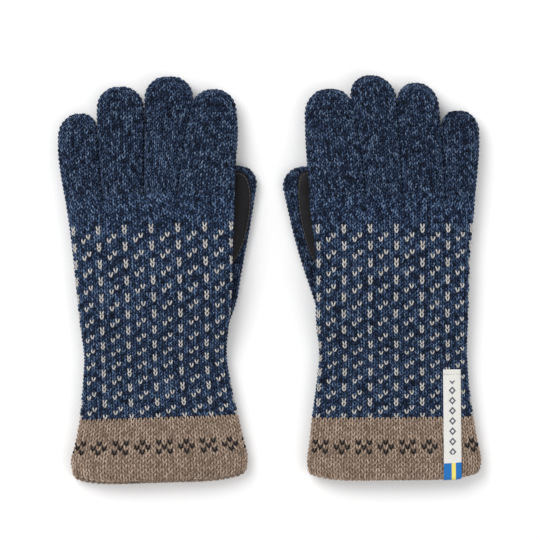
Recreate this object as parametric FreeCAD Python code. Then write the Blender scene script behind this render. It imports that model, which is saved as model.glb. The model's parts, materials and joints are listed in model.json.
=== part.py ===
import FreeCAD
import Part
import math
import os

# A pair of knitted wool gloves lying palm down on a table, fingertips towards +Y and thumbs inwards.
# Each glove is a flattened knitted tube with a flared cuff, four finger tubes and a thumb tube, with
# leather sewn on its gripping side. The thumb lies under the edge of the hand with its leather upwards.
#
# Each glove is drawn in its own frame: u across the hand towards the thumb, v from the hem towards the
# fingertips, z up from the table. side is +1 for the left glove and -1 for the right one.

# ---- driving dimensions, in mm and degrees ----
hand_wall = 2.6                 # thickness of the two-colour knit
cuff_wall = 3.2                 # the cuff is turned back on itself, so it is thicker
finger_wall = 2.4
thumb_wall = 2.2
leather = 1.0                   # thickness of the glove leather
layer_gap = 0.05                # between two layers that are sewn together
section_power = 2.6             # 2 is an ellipse, more is squarer
cuff_length = 37.5
crotch_v = 177.0                # where the finger tubes leave the hand
web = 3.0                       # how far the hand closes between the fingers past that line

# Across the tube at each v: half width, half thickness, height of the middle, sideways slope.
stations = [
    (0.0, 54.2, 8.0, 7.7, 0.000),
    (9.0, 55.3, 8.0, 7.7, 0.000),
    (cuff_length, 50.5, 8.0, 7.7, 0.000),
    (54.0, 48.1, 7.8, 8.0, 0.000),
    (78.0, 45.8, 7.5, 8.8, 0.010),
    (98.0, 47.6, 8.0, 11.4, 0.050),
    (117.0, 48.9, 8.4, 14.3, 0.095),
    (142.0, 50.2, 8.5, 15.0, 0.110),
    (166.0, 52.2, 8.5, 15.0, 0.108),
    (crotch_v + web, 53.6, 8.5, 14.9, 0.105),
]

# Each finger: u of its root, u and v of its tip, height of the middle of its tip, width near the tip.
# The fingers of the two gloves lie a little differently, as on any knitted pair.
fingers = {
    1: {
        "little": (-42.3, -43.9, 230.6, 8.7, 24.0),
        "ring": (-17.6, -17.6, 246.7, 9.6, 26.8),
        "middle": (7.4, 12.4, 252.3, 9.8, 26.2),
        "index": (35.4, 41.3, 243.2, 10.3, 30.2),
    },
    -1: {
        "little": (-43.4, -43.6, 230.8, 8.7, 24.0),
        "ring": (-19.6, -16.6, 248.4, 9.6, 26.2),
        "middle": (5.6, 11.4, 253.4, 9.8, 26.4),
        "index": (34.9, 38.8, 245.1, 10.3, 29.0),
    },
}
finger_taper = 0.94             # width at the root over width near the tip
finger_flatness = 0.60          # thickness over width
dome_share = 1.05               # length of the rounded tip over half the width
hinge_at = 11.0                 # from the root of a finger to the line where it bends
back_bend = 45.0                # how far a finger folds back over the hand
curl_bend = {"little": 70.0, "ring": 70.0, "middle": 70.0, "index": 34.0}     # room towards the palm
hinge_gap = 0.4
tuck = 0.6                      # how narrow a finger's stub begins, inside the hand
tuck_from = -12.0

thumbs = {                      # u and v of the root, u and v of the tip
    1: (39.3, 110.0, 58.0, 194.3),
    -1: (35.2, 110.0, 58.8, 195.8),
}
thumb_width = {1: 25.4, -1: 27.0}
thumb_taper = 0.93
thumb_half_thick = 5.1
thumb_mid_z = 5.1
thumb_hinge_at = 17.0
thumb_open = 50.0               # how far the thumb opens away from the palm
thumb_root_z = 10.5             # where the thumb tube enters the hand

# Leather patches: outlines in the frame of the piece that they are sewn to.
palm_patch = (-39.0, 20.0, 80.0, 168.0)         # u from, u to, v from, v to
palm_corner = 14.0
finger_patch_share = 0.60                       # its width over the finger's
finger_patch_start = 19.0                       # from the root of the finger
finger_patch_end = 5.0                          # short of the fingertip
thumb_patches = {1: (-9.6, 9.8), -1: (-10.4, 6.0)}   # across the thumb, towards its outer edge last
thumb_patch_ends = (19.5, 4.0)                  # past the root, short of the tip
thread_inset = 1.3
thread_size = 0.5

elastic_band = (70.0, 82.0)     # v from and to of the elastic band inside the wrist
elastic_thick = 0.9
elastic_gap = 0.15               # between the elastic and the inside of the knit

label_u = (-42.4, -31.2)
label_top = 67.6
label_thick = 0.6
label_lift = 0.4                # how far it stands off the knit
label_fold = 1.1                # how far it passes round the hem
label_end_z = 11.8              # the lower end of the fold, on the hem's face

# Where each glove lies on the table: x and y of the middle of its hem, and its turn.
placing = {1: (-70.04, -125.76, 1.9), -1: (77.46, -125.76, 0.5)}
names = {1: "left", -1: "right"}


# ---- the hand, the cuff and what follows their surface ----
def section(station, side, grow):
    """Closed curve round the tube at one station, made larger by grow."""
    v, half_width, half_thick, middle, slope = station
    points = []
    count = 32
    for i in range(count):
        t = 2 * math.pi * i / count
        c, s = math.cos(t), math.sin(t)
        across = math.copysign(abs(c) ** (2 / section_power), c)
        up = math.copysign(abs(s) ** (2 / section_power), s)
        u = (half_width + grow) * across
        z = middle + slope * u + (half_thick + grow) * up
        points.append(FreeCAD.Vector(side * u, v, z))
    curve = Part.BSplineCurve()
    curve.interpolate(Points=points, PeriodicFlag=True)
    return Part.Wire([curve.toShape()])


def between(v):
    """The station at any v, in line between its neighbours."""
    for low, high in zip(stations, stations[1:]):
        if low[0] <= v <= high[0]:
            share = (v - low[0]) / (high[0] - low[0])
            return tuple(a + share * (b - a) for a, b in zip(low, high))
    return stations[0] if v < stations[0][0] else stations[-1]


def moved_to(station, v):
    return (v,) + tuple(station[1:])


def tube(side, v_from, v_to, grow, run_out_from=0.0, run_out_to=0.0):
    """Solid loft between two heights, run straight on past its ends where asked."""
    row = [between(v_from)] + [s for s in stations if v_from < s[0] < v_to] + [between(v_to)]
    row[0] = moved_to(row[0], v_from - run_out_from)
    row[-1] = moved_to(row[-1], v_to + run_out_to)
    return Part.makeLoft([section(s, side, grow) for s in row], True, False)


def rounded_prism(x_from, x_to, y_from, y_to, corner, z_from, z_to):
    """Upright block with rounded corners."""
    block = Part.makeBox(x_to - x_from, y_to - y_from, z_to - z_from, FreeCAD.Vector(x_from, y_from, z_from))
    upright = [e for e in block.Edges if abs(e.tangentAt(e.FirstParameter).z) > 0.99]
    return block.makeFillet(corner, upright)


def sorted_span(side, low, high):
    return tuple(sorted((side * low, side * high)))


# ---- digits: a finger or a thumb is drawn along +Y from its root at the origin, then placed ----
def oval(x, y, z, half_width, half_thick, count=20):
    """Closed oval curve in a plane of constant y."""
    points = []
    for i in range(count):
        t = 2 * math.pi * i / count
        points.append(FreeCAD.Vector(x + half_width * math.cos(t), y, z + half_thick * math.sin(t)))
    curve = Part.BSplineCurve()
    curve.interpolate(Points=points, PeriodicFlag=True)
    return Part.Wire([curve.toShape()])


def digit_body(length, half_root, half_tip, flatness, grow, start):
    """Flattened tapered tube with a rounded tip, made larger by grow. It begins at 0 or is tucked in."""
    dome = half_tip * dome_share
    shoulder = length - dome
    tip = half_tip + grow
    flat = (half_tip * flatness + grow) / tip
    rows = [(0.0, half_root + grow), (shoulder, tip)]
    if start < 0:
        rows.insert(0, (start, (half_root + grow) * tuck))
    wires = [oval(0, y, 0, half, half * flat) for y, half in rows]
    for degrees in (18, 34, 48, 61, 72, 81):
        t = math.radians(degrees)
        half = tip * math.cos(t)
        wires.append(oval(0, shoulder + (dome + grow) * math.sin(t), 0, half, half * flat))
    return Part.makeLoft(wires, True, True)


def digit_place(root, tip):
    """Placement with Y along the digit, X level across it and Z out of its back."""
    along = (tip - root).normalize()
    across = FreeCAD.Vector(along.y, -along.x, 0).normalize()
    out = across.cross(along)
    m = FreeCAD.Matrix(
        across.x, along.x, out.x, root.x,
        across.y, along.y, out.y, root.y,
        across.z, along.z, out.z, root.z,
        0, 0, 0, 1,
    )
    return FreeCAD.Placement(m)


def past_hinge(hinge, back, curl, gap):
    """All that lies past the bend line, cut back in a V so that it can turn both ways."""
    reach, far, wide = 40.0, 200.0, 60.0
    top = math.tan(math.radians(back / 2))
    bottom = math.tan(math.radians(curl / 2))
    outline = [
        (hinge + gap / 2, 0.0),
        (hinge + gap / 2 + reach * top, reach),
        (far, reach),
        (far, -reach),
        (hinge + gap / 2 + reach * bottom, -reach),
    ]
    points = [FreeCAD.Vector(-wide, y, z) for y, z in outline + outline[:1]]
    return Part.Face(Part.makePolygon(points)).extrude(FreeCAD.Vector(2 * wide, 0, 0))


def before_hinge(hinge, back, curl, gap, start):
    """All from start up to the bend line, the mirror of past_hinge."""
    shape = past_hinge(hinge, back, curl, gap).mirror(FreeCAD.Vector(0, hinge, 0), FreeCAD.Vector(0, 1, 0))
    room = Part.makeBox(120, hinge - start + 1, 80, FreeCAD.Vector(-60, start, -40))
    return shape.common(room)


def finger_facts(side, name):
    root_u, tip_u, tip_v, tip_z, width = fingers[side][name]
    station = between(crotch_v)
    root_z = station[3] + station[4] * root_u
    root = FreeCAD.Vector(side * root_u, crotch_v, root_z)
    tip = FreeCAD.Vector(side * tip_u, tip_v, tip_z)
    return {
        "root": root,
        "tip": tip,
        "length": (tip - root).Length,
        "half_tip": width / 2,
        "half_root": width / 2 * finger_taper,
        "place": digit_place(root, tip),
        "hinge": hinge_at,
    }


def thumb_facts(side):
    root_u, root_v, tip_u, tip_v = thumbs[side]
    root = FreeCAD.Vector(side * root_u, root_v, thumb_mid_z)
    tip = FreeCAD.Vector(side * tip_u, tip_v, thumb_mid_z)
    return {
        "root": root,
        "tip": tip,
        "length": (tip - root).Length,
        "half_tip": thumb_width[side] / 2,
        "half_root": thumb_width[side] / 2 * thumb_taper,
        "place": digit_place(root, tip),
        "hinge": thumb_hinge_at,
    }


def placed(shape, facts):
    return shape.transformed(facts["place"].toMatrix())


def finger_solid(facts, grow, start):
    return digit_body(facts["length"], facts["half_root"], facts["half_tip"], finger_flatness, grow, start)


def thumb_solid(facts, grow, start):
    flatness = thumb_half_thick / facts["half_tip"]
    return digit_body(facts["length"], facts["half_root"], facts["half_tip"], flatness, grow, start)


def make_finger(side, name):
    """The finger tube past its bend line, its leather and the thread round the leather."""
    facts = finger_facts(side, name)
    beyond = past_hinge(facts["hinge"], back_bend, curl_bend[name], hinge_gap)
    outer = finger_solid(facts, 0, 0)
    shell = outer.cut(finger_solid(facts, -finger_wall, tuck_from)).common(beyond)
    half = facts["half_tip"] * finger_patch_share
    outline = (-half, half, finger_patch_start, facts["length"] - finger_patch_end)
    patch, thread = sewn_patch(
        lambda grow: finger_solid(facts, grow, 0), outline, half * 0.8, (-30.0, -1.0)
    )
    return {
        names[side] + "_" + name + "_finger": placed(shell, facts),
        names[side] + "_" + name + "_leather": placed(patch, facts),
        names[side] + "_" + name + "_thread": placed(thread, facts),
    }


def sewn_patch(body, outline, corner, span):
    """A leather patch lying on a body, and the ring of thread round its edge."""
    x_from, x_to, y_from, y_to = outline
    inside = body(layer_gap)
    middle = body(layer_gap + leather)
    outside = body(layer_gap + leather + thread_size / 2)
    patch = middle.common(rounded_prism(x_from, x_to, y_from, y_to, corner, *span)).cut(inside)
    rings = []
    for inset in (thread_inset, thread_inset + thread_size):
        rings.append(rounded_prism(
            x_from + inset, x_to - inset, y_from + inset, y_to - inset, corner - inset, *span
        ))
    thread = outside.common(rings[0].cut(rings[1])).cut(middle)
    return patch, thread


def make_thumb(side):
    facts = thumb_facts(side)
    beyond = past_hinge(facts["hinge"], 0, thumb_open, hinge_gap)
    outer = thumb_solid(facts, 0, 0)
    shell = outer.cut(thumb_solid(facts, -thumb_wall, tuck_from)).common(beyond)
    low, high = sorted_span(side, *thumb_patches[side])
    outline = (low, high, thumb_patch_ends[0], facts["length"] - thumb_patch_ends[1])
    patch, thread = sewn_patch(lambda grow: thumb_solid(facts, grow, 0), outline, 6.0, (0.5, 30.0))
    return {
        names[side] + "_thumb": placed(shell, facts),
        names[side] + "_thumb_leather": placed(patch, facts),
        names[side] + "_thumb_thread": placed(thread, facts),
    }


def gusset(side, grow):
    """The wide base of the thumb, from its bend line up into the hand."""
    facts = thumb_facts(side)
    hinge_point = facts["place"].multVec(FreeCAD.Vector(0, facts["hinge"], 0))
    half = facts["half_root"] + grow
    thick = thumb_half_thick * facts["half_root"] / facts["half_tip"] + grow
    inner_u = thumbs[side][0] - 9.0
    rows = [
        (side * inner_u, 84.0, thumb_root_z, half * 0.80, thick * 0.75),
        (side * (inner_u + 3.5), 98.0, 8.2, half * 0.95, thick * 0.95),
        (hinge_point.x, hinge_point.y, thumb_mid_z, half, thick),
        (hinge_point.x + side * 2.0, hinge_point.y + 9.0, thumb_mid_z, half, thick),
    ]
    return Part.makeLoft([oval(*row) for row in rows], True, True)


def make_hand(side):
    """The knitted hand with a stub for each digit, open to the wrist and into every digit."""
    outer = tube(side, cuff_length, crotch_v + web, 0)
    inner = tube(side, cuff_length, crotch_v, -hand_wall, run_out_from=2.0)
    stubs, hollows = [], [inner]
    for name in fingers[side]:
        facts = finger_facts(side, name)
        keep = before_hinge(facts["hinge"], back_bend, curl_bend[name], hinge_gap, tuck_from)
        stubs.append(placed(finger_solid(facts, 0, tuck_from).common(keep), facts))
        room = Part.makeBox(120, 50, 80, FreeCAD.Vector(-60, -20, -40))
        hollows.append(placed(finger_solid(facts, -finger_wall, tuck_from).common(room), facts))
    facts = thumb_facts(side)
    keep = placed(before_hinge(facts["hinge"], 0, thumb_open, hinge_gap, -60.0), facts)
    stubs.append(gusset(side, 0).common(keep))
    hollows.append(gusset(side, -thumb_wall))
    hand = outer.fuse(stubs)
    for hollow in hollows + [below_table()]:
        hand = hand.cut(hollow)
    return hand


def below_table():
    return Part.makeBox(160, 280, 10, FreeCAD.Vector(-80, -20, -10))


def make_palm_leather(side):
    u_from, u_to = sorted_span(side, *palm_patch[:2])
    outline = (u_from, u_to, palm_patch[2], palm_patch[3])
    return sewn_patch(
        lambda grow: tube(side, cuff_length, crotch_v, grow), outline, palm_corner, (-30.0, 12.0)
    )


def make_cuff(side):
    shell = tube(side, 0.0, cuff_length, 0).cut(
        tube(side, 0.0, cuff_length, -cuff_wall, run_out_from=2.0, run_out_to=2.0)
    )
    return shell.cut(below_table())


def make_elastic(side, hand):
    """The elastic band, trimmed to the inside of the hand that it is sewn to."""
    low, high = elastic_band
    top = -hand_wall - elastic_gap
    band = tube(side, low, high, top).cut(
        tube(side, low, high, top - elastic_thick, run_out_from=1.0, run_out_to=1.0)
    )
    return band.cut(hand)


def make_label(side):
    """A woven label sewn flat on the back of the wrist, folded round the hem."""
    u_from, u_to = sorted_span(side, *label_u)
    under = tube(side, 0.0, label_top + 4, label_lift, run_out_from=label_fold - label_thick)
    over = tube(side, 0.0, label_top + 4, label_lift + label_thick, run_out_from=label_fold)
    strip = Part.makeBox(u_to - u_from, label_top + 10, 30.0, FreeCAD.Vector(u_from, -10.0, label_end_z))
    return over.common(strip).cut(under)


def make_label_thread(side, label):
    """Two short rows of stitching that hold the top of the label."""
    u_from, u_to = sorted_span(side, *label_u)
    top = label_lift + label_thick
    raised = tube(side, cuff_length, label_top + 4, top + thread_size / 2)
    inside = tube(side, cuff_length, label_top + 4, top)
    skin = raised.cut(inside)
    rows = []
    for v in (label_top - 2.2, label_top - 4.2):
        rows.append(skin.common(Part.makeBox(
            u_to - u_from - 2.0, thread_size, 30.0, FreeCAD.Vector(u_from + 1.0, v, 8.0)
        )).cut(label))
    return Part.makeCompound(rows)


def solids_only(shape):
    parts = shape.Solids
    return parts[0] if len(parts) == 1 else Part.makeCompound(parts)


def on_table(shape, side):
    """Lays a piece of a glove in its place in the pair."""
    x, y, turn = placing[side]
    place = FreeCAD.Placement(
        FreeCAD.Vector(x, y, 0), FreeCAD.Rotation(FreeCAD.Vector(0, 0, 1), turn)
    )
    return shape.transformed(place.toMatrix())


def make_glove(side):
    hand = make_hand(side)
    pieces = {
        names[side] + "_cuff": make_cuff(side),
        names[side] + "_hand": hand,
        names[side] + "_wrist_elastic": make_elastic(side, hand),
    }
    patch, thread = make_palm_leather(side)
    pieces[names[side] + "_palm_leather"] = patch
    pieces[names[side] + "_palm_thread"] = thread
    for name in fingers[side]:
        pieces.update(make_finger(side, name))
    pieces.update(make_thumb(side))
    if side == -1:
        pieces["label"] = make_label(side)
        pieces["label_thread"] = make_label_thread(side, pieces["label"])
    return {name: solids_only(on_table(shape, side)) for name, shape in pieces.items()}


def main():
    os.makedirs("parts", exist_ok=True)
    for side in (1, -1):
        for name, shape in make_glove(side).items():
            shape.exportStep(os.path.join("parts", name + ".step"))
            print(f"{name:24s} solids {len(shape.Solids)} valid {shape.isValid()} volume {shape.Volume:9.1f}")


main()
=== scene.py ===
import json
import math
from functools import partial

import bpy
import numpy as np
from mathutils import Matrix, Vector


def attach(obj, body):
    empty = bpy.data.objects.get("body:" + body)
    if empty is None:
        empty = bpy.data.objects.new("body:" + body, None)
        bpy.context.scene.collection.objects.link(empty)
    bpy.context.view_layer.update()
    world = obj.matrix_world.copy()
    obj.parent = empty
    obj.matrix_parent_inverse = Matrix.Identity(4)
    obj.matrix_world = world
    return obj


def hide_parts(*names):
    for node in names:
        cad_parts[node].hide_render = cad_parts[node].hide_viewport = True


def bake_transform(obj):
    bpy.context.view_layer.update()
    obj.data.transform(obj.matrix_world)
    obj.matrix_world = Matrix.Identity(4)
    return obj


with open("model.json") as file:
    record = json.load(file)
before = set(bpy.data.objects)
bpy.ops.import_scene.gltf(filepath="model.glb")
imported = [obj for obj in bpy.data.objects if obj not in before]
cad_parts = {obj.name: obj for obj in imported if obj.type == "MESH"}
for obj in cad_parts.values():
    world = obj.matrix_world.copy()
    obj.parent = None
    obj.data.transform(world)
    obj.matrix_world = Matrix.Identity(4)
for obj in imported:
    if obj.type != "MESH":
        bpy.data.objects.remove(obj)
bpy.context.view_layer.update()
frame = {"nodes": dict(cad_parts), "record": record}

for leftover in ("Cube", "Light", "Camera"):  # what an empty start-up file holds
    if leftover in bpy.data.objects:
        bpy.data.objects.remove(bpy.data.objects[leftover])
print("gloves: frame loaded,", len(frame["nodes"]), "CAD nodes")

# Every glove is shaped in its own frame, in mm: u towards the thumb, v from the hem to the fingertips, z up.
gloves = {
    "left": {"side": 1, "x": -70.04, "y": -125.76, "turn": 1.9, "seed": 11, "handPhase": 0.0,
             "cuffPhase": 0.5, "firstCross": 30, "backHem": 2.5},
    "right": {"side": -1, "x": 77.46, "y": -125.76, "turn": 0.5, "seed": 29, "handPhase": 0.6,
              "cuffPhase": 0.0, "firstCross": 34, "backHem": 0.4},
}


def turned(glove, vectors):  # directions out of a glove's own frame
    g = gloves[glove]
    a = math.radians(g["turn"])
    p = np.asarray(vectors, float)
    x, y = g["side"] * p[..., 0], p[..., 1]
    return np.stack([x * math.cos(a) - y * math.sin(a), x * math.sin(a) + y * math.cos(a), p[..., 2]], -1)


def placed(glove, points):  # points out of a glove's own frame, in metres
    g = gloves[glove]
    return (turned(glove, points) + np.array([g["x"], g["y"], 0.0])) * 0.001


def through(rows, x):  # smooth curves through the rows of a table, its first column is x
    rows = np.array(rows, float)
    xs, ys = rows[:, 0], rows[:, 1:]
    slopes = np.gradient(ys, xs, axis=0)
    x = np.clip(np.asarray(x, float), xs[0], xs[-1])
    i = np.clip(np.searchsorted(xs, x) - 1, 0, len(xs) - 2)
    h = (xs[i + 1] - xs[i])[..., None]
    t = (x - xs[i])[..., None] / h
    return ((1 + 2 * t) * (1 - t) ** 2 * ys[i] + t * (1 - t) ** 2 * h * slopes[i]
            + t * t * (3 - 2 * t) * ys[i + 1] + t * t * (t - 1) * h * slopes[i + 1])


def ramp(x, low, high):  # 0 to 1, smoothly
    t = np.clip((np.asarray(x, float) - low) / (high - low), 0, 1)
    return t * t * (3 - 2 * t)


def oval(count, halfWidth, halfThick, power):  # from the middle of the underside round by the thumb side
    a = -math.pi / 2 + 2 * math.pi * np.arange(count) / count
    c, s = np.cos(a), np.sin(a)
    return tuple(half * np.sign(x) * np.abs(x) ** (2 / power) for half, x in ((halfWidth, c), (halfThick, s)))


def spread(ring, shares):  # points at given shares of the way round a closed ring
    loop = np.vstack([ring, ring[:1]])
    steps = np.linalg.norm(np.diff(loop, axis=0), axis=1)
    along = np.concatenate([[0], np.cumsum(steps)])
    want = np.mod(shares, 1.0) * along[-1]
    return np.stack([np.interp(want, along, loop[:, k]) for k in range(3)], -1), along[-1]


def unit(v):
    return v / np.maximum(np.linalg.norm(v, axis=-1, keepdims=True), 1e-9)


def girthOf(ring):
    return spread(ring, np.zeros(1))[1]


def newObject(name, data):
    obj = bpy.data.objects.new(name, data)
    bpy.context.scene.collection.objects.link(obj)
    return obj


def placedMesh(name, glove, points, edges=(), faces=()):
    mesh = bpy.data.meshes.new(name)
    mesh.from_pydata([tuple(p) for p in placed(glove, points)], edges, faces)
    mesh.polygons.foreach_set("use_smooth", [True] * len(mesh.polygons))
    mesh.update()
    return mesh


def storeVectors(mesh, name, vectors):
    mesh.attributes.new(name, "FLOAT_VECTOR", "POINT").data.foreach_set(
        "vector", vectors.astype(np.float32).ravel())


def ringMesh(name, glove, rings, joined=False, poles=()):  # skin over equal rings; poles close its ends
    count, rows = len(rings[0]), len(rings)
    points = list(np.vstack(rings))
    faces = []
    for r in range(rows if joined else rows - 1):
        s = (r + 1) % rows
        for c in range(count):
            d = (c + 1) % count
            faces.append((r * count + c, s * count + c, s * count + d, r * count + d))
    for end in poles:
        row = 0 if end == "start" else rows - 1
        tip = len(points)
        points.append(np.asarray(rings[row]).mean(0))
        for c in range(count):
            a, b = row * count + c, row * count + (c + 1) % count
            faces.append((tip, a, b) if end == "start" else (tip, b, a))
    if gloves[glove]["side"] < 0:  # a mirrored glove
        faces = [tuple(reversed(f)) for f in faces]
    return newObject(name, placedMesh(name, glove, np.array(points), faces=faces))


def baked(obj, name):  # the evaluated object as one plain mesh, its modifiers gone
    bpy.context.view_layer.update()
    graph = bpy.context.evaluated_depsgraph_get()
    mesh = bpy.data.meshes.new_from_object(obj.evaluated_get(graph), preserve_all_data_layers=True,
                                           depsgraph=graph)
    mesh.name = name
    result = newObject(name, mesh)
    bpy.data.objects.remove(obj)
    return result


def joinedInto(name, objects):  # several plain meshes as one piece
    bpy.ops.object.select_all(action="DESELECT")
    for o in objects:
        o.select_set(True)
    bpy.context.view_layer.objects.active = objects[0]
    bpy.ops.object.join()
    objects[0].name = name
    objects[0].data.name = name
    return objects[0]


def faceCount(*pieces):
    return sum(len(piece.data.polygons) for piece in pieces)


def addNode(tree, kind, inputs=None, **settings):
    node = tree.nodes.new(kind)
    for key, value in settings.items():
        setattr(node, key, value)
    for key, value in (inputs or {}).items():
        if isinstance(value, bpy.types.NodeSocket):
            tree.links.new(value, node.inputs[key])
        else:
            node.inputs[key].default_value = value
    return node


def geo(tree, kind, inputs=None, **settings):  # the first output of a geometry node
    return addNode(tree, "GeometryNode" + kind, inputs, **settings).outputs[0]


def calc(tree, operation, *values):
    return addNode(tree, "ShaderNodeMath", dict(enumerate(values)), operation=operation).outputs[0]


def scaled(tree, value, by, plus=0.0):  # value * by + plus
    return calc(tree, "MULTIPLY_ADD", value, by, plus)


def alike(tree, value):  # one number as all three parts of a vector
    return addNode(tree, "ShaderNodeCombineXYZ", dict.fromkeys("XYZ", value)).outputs[0]


def makeTree(name, kind, inputs, outputs):
    tree = bpy.data.node_groups.new(name, kind)
    for label, socketType, value in inputs:
        socket = tree.interface.new_socket(label, in_out="INPUT", socket_type="NodeSocket" + socketType)
        if value is not None:
            socket.default_value = value
    for label, socketType in outputs:
        tree.interface.new_socket(label, in_out="OUTPUT", socket_type="NodeSocket" + socketType)
    return tree, tree.nodes.new("NodeGroupInput").outputs, tree.nodes.new("NodeGroupOutput").inputs


def geometryTree(name, *inputs):  # geometry and a material come in, geometry goes out
    return makeTree(name, "GeometryNodeTree", [
        ("Geometry", "Geometry", None), *inputs, ("Material", "Material", None)], [("Geometry", "Geometry")])


def runTree(obj, tree, values):  # adds the tree as a modifier, its inputs set by identifier
    modifier = obj.modifiers.new(tree.name, "NODES")
    modifier.node_group = tree
    for item in tree.interface.items_tree:
        if item.item_type == "SOCKET" and item.in_out == "INPUT" and item.name in values:
            modifier[item.identifier] = values[item.name]


def storeValue(tree, geometry, name, value, domain="POINT"):
    return geo(tree, "StoreNamedAttribute", {"Geometry": geometry, "Name": name, "Value": value},
               data_type="FLOAT", domain=domain)


def namedVector(tree, name):
    return addNode(tree, "GeometryNodeInputNamedAttribute", {"Name": name},
                   data_type="FLOAT_VECTOR").outputs["Attribute"]


def arc(tree, resolution, start, startHandle, endHandle, end):
    return geo(tree, "CurvePrimitiveBezierSegment", {
        "Resolution": resolution, "Start": start, "Start Handle": startHandle, "End Handle": endHandle,
        "End": end})


def tubeAlong(tree, curve, radius, sides, mark=None):  # mark names the share of the way round the tube
    section = geo(tree, "CurvePrimitiveCircle", {"Resolution": sides, "Radius": 1.0})
    if mark:
        section = storeValue(tree, section, mark, geo(tree, "SplineParameter"))
    return geo(tree, "CurveToMesh", {
        "Curve": curve, "Profile Curve": section, "Scale": radius, "Fill Caps": True})


def facing(tree, upward):  # z looks outward, y looks upward
    return addNode(tree, "FunctionNodeAxesToRotation", {
        "Primary Axis": namedVector(tree, "outward"), "Secondary Axis": upward},
        primary_axis="Z", secondary_axis="Y").outputs[0]


def dressed(tree, geometry, given, result):  # the last node of a tree, which sets the material
    tree.links.new(geo(tree, "SetMaterial", {"Geometry": geometry, "Material": given["Material"]}), result[0])
    return tree


stitchShape = {"legSteps": 4, "leg": ((0.08, -0.52, -0.20), (0.15, -0.26, 0.14), (0.33, 0.12, 0.16),
                                      (0.33, 0.50, -0.20)), "thinEnd": 0.50, "fullness": 0.7}
fibreShape = {"steps": 3, "bow": ((0.0, 0.0, 0.0), (0.0, 0.1, 0.45), (0.35, 0.2, 0.75), (0.75, 0.1, 0.7)),
              "sides": 3, "root": 1.15, "lean": (1.1, 1.1, 3.14)}
threadShape = {"steps": 4, "sides": 5,
               "bow": ((0.0, -0.5, -0.12), (0.0, -0.3, 0.10), (0.0, 0.3, 0.10), (0.0, 0.5, -0.12))}


def stitchTree():  # one V of yarn on each point of a chart; the point says how it faces and how large it is
    tree, given, result = geometryTree(
        "knitStitches", ("Yarn Radius", "Float", 0.24), ("Leg Sides", "Int", 5),
        ("Unevenness", "Float", 0.08), ("Seed", "Int", 1))
    leg = arc(tree, stitchShape["legSteps"], *stitchShape["leg"])
    share = geo(tree, "SplineParameter")
    swell = calc(tree, "POWER", calc(tree, "SINE", scaled(tree, share, math.pi)), stitchShape["fullness"])
    thin = stitchShape["thinEnd"]
    radius = scaled(tree, scaled(tree, swell, 1 - thin, thin), given["Yarn Radius"])
    tube = tubeAlong(tree, storeValue(tree, leg, "along", share), radius, given["Leg Sides"], "around")
    mirrored = geo(tree, "Transform", {"Geometry": tube, "Scale": (-1.0, 1.0, 1.0)})
    both = addNode(tree, "GeometryNodeJoinGeometry")
    for side, mesh in enumerate((tube, geo(tree, "FlipFaces", {"Mesh": mirrored}))):
        tree.links.new(storeValue(tree, mesh, "leg", float(side)), both.inputs[0])
    smooth = geo(tree, "SetShadeSmooth", {"Geometry": both.outputs[0]})
    onPoints = geo(tree, "InstanceOnPoints", {
        "Points": given["Geometry"], "Instance": smooth, "Scale": namedVector(tree, "cell"),
        "Rotation": facing(tree, namedVector(tree, "upward"))})
    wobble = addNode(tree, "FunctionNodeRandomValue", {
        "Min": alike(tree, scaled(tree, given["Unevenness"], -1.0)), "Max": alike(tree, given["Unevenness"]),
        "Seed": given["Seed"]}, data_type="FLOAT_VECTOR")
    uneven = geo(tree, "RotateInstances", {"Instances": onPoints, "Rotation": wobble.outputs["Value"]})
    draw = addNode(tree, "FunctionNodeRandomValue", {"Seed": given["Seed"]}, data_type="FLOAT")
    chance = next(socket for socket in draw.outputs if socket.enabled)
    strands = storeValue(tree, uneven, "strand", chance, "INSTANCE")
    return dressed(tree, geo(tree, "RealizeInstances", {"Geometry": strands}), given, result)


def fuzzTree():  # short loose fibres on a surface
    tree, given, result = geometryTree("woolFuzz", ("Density", "Float", 40000.0), ("Length", "Float", 0.002),
                                       ("Radius", "Float", 0.00004), ("Seed", "Int", 1))
    spots = addNode(tree, "GeometryNodeDistributePointsOnFaces", {
        "Mesh": given["Geometry"], "Density": given["Density"], "Seed": given["Seed"]})
    hair = arc(tree, fibreShape["steps"], *fibreShape["bow"])
    long = geo(tree, "Transform", {"Geometry": hair, "Scale": alike(tree, given["Length"])})
    taper = calc(tree, "SUBTRACT", fibreShape["root"], geo(tree, "SplineParameter"))
    fibre = tubeAlong(tree, long, scaled(tree, taper, given["Radius"]), fibreShape["sides"])
    lean = addNode(tree, "FunctionNodeRandomValue", {
        "Min": tuple(-a for a in fibreShape["lean"]), "Max": fibreShape["lean"], "Seed": given["Seed"]},
        data_type="FLOAT_VECTOR")
    onPoints = geo(tree, "InstanceOnPoints", {
        "Points": spots.outputs["Points"], "Instance": fibre, "Rotation": spots.outputs["Rotation"]})
    tilted = geo(tree, "RotateInstances", {"Instances": onPoints, "Rotation": lean.outputs["Value"]})
    return dressed(tree, geo(tree, "RealizeInstances", {"Geometry": tilted}), given, result)


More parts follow.
